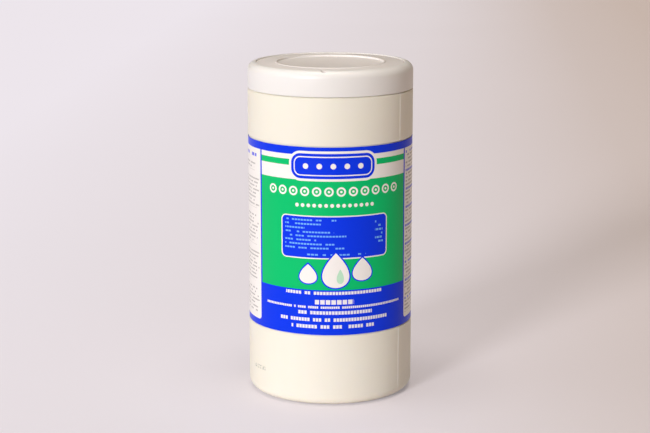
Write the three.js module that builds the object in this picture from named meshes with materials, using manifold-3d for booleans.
// A pull-up dispenser of moist wipes: a blown plastic canister with a wrap label, a coreless roll
// of perforated wipes standing in it, and a push-on lid with a slit outlet under a hinged flip cap.
// Millimetres, +Z up, the origin at the centre of the foot, the thumb notch facing -Y.
// The sizes are built from the roll outwards: roll, mouth, neck, snap beads, lid skirt, body.
import * as THREE from 'three';
import { mergeVertices } from 'three/addons/utils/BufferGeometryUtils.js';
import Module from 'manifold-3d';

const wasm = await Module();
wasm.setup();

// Facets round every turned form
const SEGMENTS = 48;
const QUARTER_TURN = 90;

// Clearances
const FIT_GAP = 0.3;
const LABEL_GAP = 0.25;

// Roll of wipes: one sheet wound in a spiral round an open core, pulled out from the middle
const SHEET_WIDTH = 177.8;
const ROLL_RADIUS = 44.5;
const CORE_RADIUS = 11;
const TURNS = 11;
const TURN_GAP = 0.4;
const STEPS_PER_TURN = 32;

// Canister: wall, foot ring, raised floor, rounded base corner and shoulder
const WALL = 1.2;
const FLOOR_RISE = 3;
const FOOT_WIDTH = 3.6;
const BASE_CORNER = 6.4;
const SHOULDER_CORNER = 2;
const CORNER_STEPS = 5;
const SHOULDER_STEPS = 3;

// Neck: mouth wider than the roll, with a snap bead round the outside
const HEADSPACE = 16.7;
const MOUTH_CLEARANCE = 2.3;
const NECK_HEIGHT = 9.1;
const NECK_BEAD = 0.7;
const NECK_BEAD_RISE = 4;
const NECK_BEAD_LAND = 0.8;
const RIM_EDGE = 0.3;

// Wrap label, lying in a shallow panel of the wall, its ends meeting at the back
const LABEL_RISE = 45.05;
const LABEL_DROP = 29.65;
const LABEL_THICKNESS = 0.25;
const LABEL_PANEL_DEPTH = 0.6;
const LABEL_TURN_DEG = 7.5;
const LABEL_SEAM = 0.5;

// Lid: skirt, inner snap bead, rounded shoulder, well for the cap, deck and inner sealing ring
const LID_WALL = 1.6;
const LID_BEAD = 0.4;
const LID_BEAD_RISE = 2;
const LID_BEAD_LAND = 0.6;
const LID_SHOULDER = 5.6;
const LID_SHOULDER_STEPS = 5;
const HOLLOW_STEPS = 3;
const SKIRT_EDGE = 0.4;
const COLLAR_WIDTH = 5.3;
const COLLAR_EDGE = 0.3;
const WELL_DEPTH = 4.5;
const DECK_THICKNESS = 1.9;
const SEAL_WALL = 1.2;
const SEAL_DEPTH = 2.8;
const RIM_SEAT = 0.8;

// Outlet in the middle of the deck: thin petals between radial slits, inside a guard ring
const OUTLET_RADIUS = 3.5;
const PETAL_THICKNESS = 0.8;
const SLIT_PAIRS = 3;
const SLIT_WIDTH = 1;
const SLIT_MARGIN = 1;
const GUARD_RADIUS = 10;
const GUARD_WALL = 1;

// Thumb notch in the front of the collar
const NOTCH_RADIUS = 2.1;
const NOTCH_SETBACK = 0.9;
const NOTCH_DEPTH = 1.3;
const NOTCH_FACETS = 16;

// Flip cap: flat rim round a sunk centre, a skirt down to the deck, a ring that closes the outlet
const CAP_WALL = 1.4;
const CAP_DROP = 0.4;
const CAP_EDGE = 0.4;
const CAP_RIM_WIDTH = 12.1;
const CAP_RECESS = 1;
const RECESS_SLOPE = 0.7;
const RECESS_BEAD = 0.2;
const CAP_RING_WALL = 1;
const HINGE_INSET = 2.25;

// Heights, from the foot up
const floorTop = FLOOR_RISE + WALL;
const rollBase = floorTop + FIT_GAP;
const rollTop = rollBase + SHEET_WIDTH;
const neckRim = rollTop + HEADSPACE;
const shoulderTop = neckRim - NECK_HEIGHT;
const skirtBottom = shoulderTop + FIT_GAP;
const deckBottom = neckRim + FIT_GAP;
const deckTop = deckBottom + DECK_THICKNESS;
const lidTop = deckTop + WELL_DEPTH;
const labelTop = shoulderTop - LABEL_DROP;

// Radii, from the roll out
const mouthRadius = ROLL_RADIUS + MOUTH_CLEARANCE;
const neckRadius = mouthRadius + WALL;
const neckBeadRadius = neckRadius + NECK_BEAD;
const lidBeadRadius = neckBeadRadius + FIT_GAP;
const skirtInner = lidBeadRadius + LID_BEAD;
const bodyRadius = skirtInner + LID_WALL;
const footOuter = bodyRadius - BASE_CORNER;
const footInner = footOuter - FOOT_WIDTH;
const panelRadius = bodyRadius - LABEL_PANEL_DEPTH;
const wellRadius = bodyRadius - COLLAR_WIDTH;
const capRadius = wellRadius - FIT_GAP;

// The hinge line of the cap runs along X, just inside the rear of the well
const hingeY = capRadius - HINGE_INSET;
const capRear = hingeY - FIT_GAP / 2;
const landFront = hingeY + FIT_GAP / 2;

const point = (radius, height) => new THREE.Vector2(radius, height);

function arc(centreRadius, centreHeight, radius, startDeg, endDeg, steps) {
  const points = [];
  for (let step = 0; step <= steps; step += 1) {
    const angle = THREE.MathUtils.degToRad(startDeg + ((endDeg - startDeg) * step) / steps);
    points.push(point(centreRadius + radius * Math.cos(angle), centreHeight + radius * Math.sin(angle)));
  }
  return points;
}

// Turns a profile of radius and height into a ring or a cup that stands along +Z
function turned(profile) {
  return new THREE.LatheGeometry(profile, SEGMENTS).rotateX(Math.PI / 2);
}

function solid(geometry) {
  const bare = geometry.clone();
  bare.deleteAttribute('normal');
  bare.deleteAttribute('uv');
  const merged = mergeVertices(bare);
  const corners = merged.index.array;
  const kept = [];
  for (let at = 0; at < corners.length; at += 3) {
    const [a, b, c] = [corners[at], corners[at + 1], corners[at + 2]];
    if (a !== b && b !== c && c !== a) kept.push(a, b, c);
  }
  return new wasm.Manifold(new wasm.Mesh({
    numProp: 3,
    vertProperties: new Float32Array(merged.attributes.position.array),
    triVerts: new Uint32Array(kept),
  }));
}

function shell(manifold) {
  const mesh = manifold.getMesh();
  const geometry = new THREE.BufferGeometry();
  geometry.setAttribute('position', new THREE.BufferAttribute(mesh.vertProperties, 3));
  geometry.setIndex(new THREE.BufferAttribute(mesh.triVerts, 1));
  const faceted = geometry.toNonIndexed();
  faceted.computeVertexNormals();
  return faceted;
}

function canisterBody() {
  const cornerHeight = BASE_CORNER;
  const shoulderCentre = bodyRadius - SHOULDER_CORNER;
  const shoulderBase = shoulderTop - SHOULDER_CORNER;
  const panelLow = LABEL_RISE - LABEL_GAP;
  const panelHigh = labelTop + LABEL_GAP;
  const beadBase = shoulderTop + NECK_BEAD_RISE;
  const beadStart = beadBase + NECK_BEAD;
  const beadEnd = beadStart + NECK_BEAD_LAND;
  const outside = [
    point(0, FLOOR_RISE),
    point(footInner - FLOOR_RISE, FLOOR_RISE),
    point(footInner, 0),
    ...arc(footOuter, cornerHeight, BASE_CORNER, -QUARTER_TURN, 0, CORNER_STEPS),
    point(bodyRadius, panelLow - LABEL_PANEL_DEPTH),
    point(panelRadius, panelLow),
    point(panelRadius, panelHigh),
    point(bodyRadius, panelHigh + LABEL_PANEL_DEPTH),
    ...arc(shoulderCentre, shoulderBase, SHOULDER_CORNER, 0, QUARTER_TURN, SHOULDER_STEPS),
    point(neckRadius, shoulderTop),
    point(neckRadius, beadBase),
    point(neckBeadRadius, beadStart),
    point(neckBeadRadius, beadEnd),
    point(neckRadius, beadEnd + NECK_BEAD),
    point(neckRadius, neckRim - RIM_EDGE),
    point(neckRadius - RIM_EDGE, neckRim),
  ];
  const inside = [
    point(mouthRadius + RIM_EDGE, neckRim),
    point(mouthRadius, neckRim - RIM_EDGE),
    point(mouthRadius, shoulderTop - WALL),
    ...arc(shoulderCentre, shoulderBase, SHOULDER_CORNER - WALL, QUARTER_TURN, 0, 1),
    point(bodyRadius - WALL, panelHigh + LABEL_PANEL_DEPTH),
    point(panelRadius - WALL, panelHigh),
    point(panelRadius - WALL, panelLow),
    point(bodyRadius - WALL, panelLow - LABEL_PANEL_DEPTH),
    ...arc(footOuter, cornerHeight, BASE_CORNER - WALL, 0, -QUARTER_TURN, CORNER_STEPS),
    point(footInner + WALL / 2, WALL),
    point(footInner - FLOOR_RISE + WALL / 2, floorTop),
    point(0, floorTop),
  ];
  return turned([...outside, ...inside]);
}

// The label is a strip bent round the panel, open along its seam at the back
function labelWrap() {
  const inner = panelRadius + LABEL_GAP;
  const outer = inner + LABEL_THICKNESS;
  const seamCentre = THREE.MathUtils.degToRad(LABEL_TURN_DEG + QUARTER_TURN);
  const seamHalf = LABEL_SEAM / 2 / outer;
  const start = seamCentre + seamHalf;
  const end = seamCentre + 2 * Math.PI - seamHalf;
  const strip = new THREE.Shape();
  strip.absarc(0, 0, outer, start, end, false);
  strip.absarc(0, 0, inner, end, start, true);
  const height = labelTop - LABEL_RISE;
  const options = { depth: height, bevelEnabled: false, curveSegments: SEGMENTS / 2 };
  return new THREE.ExtrudeGeometry(strip, options).translate(0, 0, LABEL_RISE);
}

// Out along the face of the band and back along its reverse; each drawn turn stands for several
function wipeRoll() {
  const pitch = (ROLL_RADIUS - CORE_RADIUS + TURN_GAP) / (TURNS + 1);
  const band = pitch - TURN_GAP;
  const steps = TURNS * STEPS_PER_TURN;
  const front = [];
  const back = [];
  for (let step = 0; step <= steps; step += 1) {
    const angle = (2 * Math.PI * step) / STEPS_PER_TURN;
    const radius = CORE_RADIUS + (pitch * step) / STEPS_PER_TURN;
    front.push(point((radius + band) * Math.cos(angle), (radius + band) * Math.sin(angle)));
    back.unshift(point(radius * Math.cos(angle), radius * Math.sin(angle)));
  }
  const spiral = new THREE.Shape([...front, ...back]);
  const options = { depth: SHEET_WIDTH, bevelEnabled: false };
  return new THREE.ExtrudeGeometry(spiral, options).translate(0, 0, rollBase);
}

function lidShell() {
  const centre = bodyRadius - LID_SHOULDER;
  const centreHeight = lidTop - LID_SHOULDER;
  const landRadius = wellRadius + COLLAR_EDGE;
  const landDeg = THREE.MathUtils.radToDeg(Math.acos(Math.max(0, (landRadius - centre) / LID_SHOULDER)));
  const sealOuter = mouthRadius - FIT_GAP;
  const sealBottom = deckBottom - SEAL_DEPTH;
  const hollowInner = sealOuter + RIM_SEAT;
  const hollowRadius = LID_SHOULDER - LID_WALL;
  const hollowDeg = THREE.MathUtils.radToDeg(Math.acos((hollowInner - centre) / hollowRadius));
  const beadLow = skirtBottom + LID_BEAD_RISE;
  const beadHigh = beadLow + LID_BEAD_LAND;
  const capCentreUnder = lidTop - CAP_DROP - CAP_RECESS - CAP_WALL;
  const guardTop = capCentreUnder - FIT_GAP;
  const petalBottom = deckTop - PETAL_THICKNESS;
  const underside = [
    point(0, petalBottom),
    point(GUARD_RADIUS, petalBottom),
    point(GUARD_RADIUS + GUARD_WALL, deckBottom),
    point(sealOuter - SEAL_WALL, deckBottom),
    point(sealOuter - SEAL_WALL, sealBottom),
    point(sealOuter, sealBottom),
    point(sealOuter, deckBottom),
    point(hollowInner, deckBottom),
    ...arc(centre, centreHeight, hollowRadius, hollowDeg, 0, HOLLOW_STEPS),
    point(skirtInner, beadHigh + LID_BEAD),
    point(lidBeadRadius, beadHigh),
    point(lidBeadRadius, beadLow),
    point(skirtInner, beadLow - LID_BEAD),
    point(skirtInner, skirtBottom + SKIRT_EDGE),
    point(skirtInner + SKIRT_EDGE, skirtBottom),
    point(bodyRadius, skirtBottom),
  ];
  const top = [
    ...arc(centre, centreHeight, LID_SHOULDER, 0, landDeg, LID_SHOULDER_STEPS),
    point(wellRadius, lidTop - COLLAR_EDGE),
    point(wellRadius, deckTop),
    point(GUARD_RADIUS + GUARD_WALL, deckTop),
    point(GUARD_RADIUS + GUARD_WALL, guardTop),
    point(GUARD_RADIUS, guardTop),
    point(GUARD_RADIUS, deckTop),
    point(0, deckTop),
  ];
  return solid(turned([...underside, ...top]));
}

// The fixed land behind the hinge fills the rear of the round well up to the collar
function hingeLand() {
  const reach = wellRadius + COLLAR_EDGE;
  const angle = Math.asin(landFront / reach);
  const outline = new THREE.Shape();
  outline.absarc(0, 0, reach, angle, Math.PI - angle, false);
  const height = lidTop - COLLAR_EDGE - deckBottom;
  const options = { depth: height, bevelEnabled: false, curveSegments: NOTCH_FACETS / 2 };
  return solid(new THREE.ExtrudeGeometry(outline, options).translate(0, 0, deckBottom));
}

// A round hole with slits across it leaves pointed petals, which grip the wipe as it is pulled
function outletCuts() {
  const middle = (deckBottom + deckTop) / 2;
  const depth = DECK_THICKNESS * 2;
  const hole = new THREE.CylinderGeometry(OUTLET_RADIUS, OUTLET_RADIUS, depth, SEGMENTS / 2);
  let cuts = solid(hole.rotateX(Math.PI / 2).translate(0, 0, middle));
  for (let pair = 0; pair < SLIT_PAIRS; pair += 1) {
    const slit = new THREE.BoxGeometry(2 * (GUARD_RADIUS - SLIT_MARGIN), SLIT_WIDTH, depth);
    cuts = cuts.add(solid(slit.rotateZ((Math.PI * pair) / SLIT_PAIRS).translate(0, 0, middle)));
  }
  return cuts;
}

function thumbNotch() {
  const height = 2 * NOTCH_DEPTH;
  const cutter = new THREE.CylinderGeometry(NOTCH_RADIUS, NOTCH_RADIUS, height, NOTCH_FACETS);
  cutter.rotateX(Math.PI / 2).translate(0, -wellRadius - NOTCH_SETBACK, lidTop);
  return solid(cutter);
}

function dispensingLid() {
  return shell(lidShell().add(hingeLand()).subtract(outletCuts()).subtract(thumbNotch()));
}

function flipCap() {
  const rimTop = lidTop - CAP_DROP;
  const rimUnder = rimTop - CAP_WALL;
  const centreTop = rimTop - CAP_RECESS;
  const centreUnder = centreTop - CAP_WALL;
  const skirtFoot = deckTop + FIT_GAP;
  const recessRadius = capRadius - CAP_RIM_WIDTH;
  const ringInner = GUARD_RADIUS + GUARD_WALL + FIT_GAP;
  const disc = solid(turned([
    point(0, centreUnder),
    point(ringInner, centreUnder),
    point(ringInner, skirtFoot),
    point(ringInner + CAP_RING_WALL, skirtFoot),
    point(ringInner + CAP_RING_WALL, centreUnder),
    point(recessRadius, centreUnder),
    point(recessRadius + RECESS_SLOPE, rimUnder),
    point(capRadius - CAP_WALL, rimUnder),
    point(capRadius - CAP_WALL, skirtFoot),
    point(capRadius, skirtFoot),
    point(capRadius, rimTop - CAP_EDGE),
    point(capRadius - CAP_EDGE, rimTop),
    point(recessRadius + RECESS_SLOPE, rimTop),
    point(recessRadius, rimTop + RECESS_BEAD),
    point(recessRadius - RECESS_SLOPE, rimTop - RECESS_BEAD),
    point(recessRadius - RECESS_SLOPE, centreTop),
    point(0, centreTop),
  ]));
  const wallHalf = Math.sqrt(capRadius ** 2 - capRear ** 2) - RIM_EDGE;
  const wallHeight = rimTop - CAP_WALL / 2 - skirtFoot;
  const rearWall = new THREE.BoxGeometry(2 * wallHalf, CAP_WALL, wallHeight);
  rearWall.translate(0, capRear - CAP_WALL / 2, skirtFoot + wallHeight / 2);
  const beyondHinge = new THREE.BoxGeometry(4 * capRadius, capRadius, 2 * lidTop);
  beyondHinge.translate(0, capRear + capRadius / 2, 0);
  return shell(disc.add(solid(rearWall)).subtract(solid(beyondHinge)));
}

const canisterPlastic = { color: 0xf1ead9, roughness: 0.42, metalness: 0 };
const labelPrint = { color: 0x00b264, roughness: 0.3, metalness: 0 };
const wipeFabric = { color: 0xf4f4f0, roughness: 0.95, metalness: 0 };
const lidPlastic = { color: 0xf3f1ec, roughness: 0.38, metalness: 0 };

function piece(name, geometry, finish) {
  const mesh = new THREE.Mesh(geometry, new THREE.MeshStandardMaterial(finish));
  mesh.name = name;
  return mesh;
}

const canister = new THREE.Group();
canister.add(
  piece('canister_body', canisterBody(), canisterPlastic),
  piece('label_wrap', labelWrap(), labelPrint),
  piece('wipe_roll', wipeRoll(), wipeFabric),
);

const closure = new THREE.Group();
closure.add(
  piece('dispensing_lid', dispensingLid(), lidPlastic),
  piece('flip_cap', flipCap(), lidPlastic),
);

const dispenser = new THREE.Group();
dispenser.add(canister, closure);

export default dispenser;
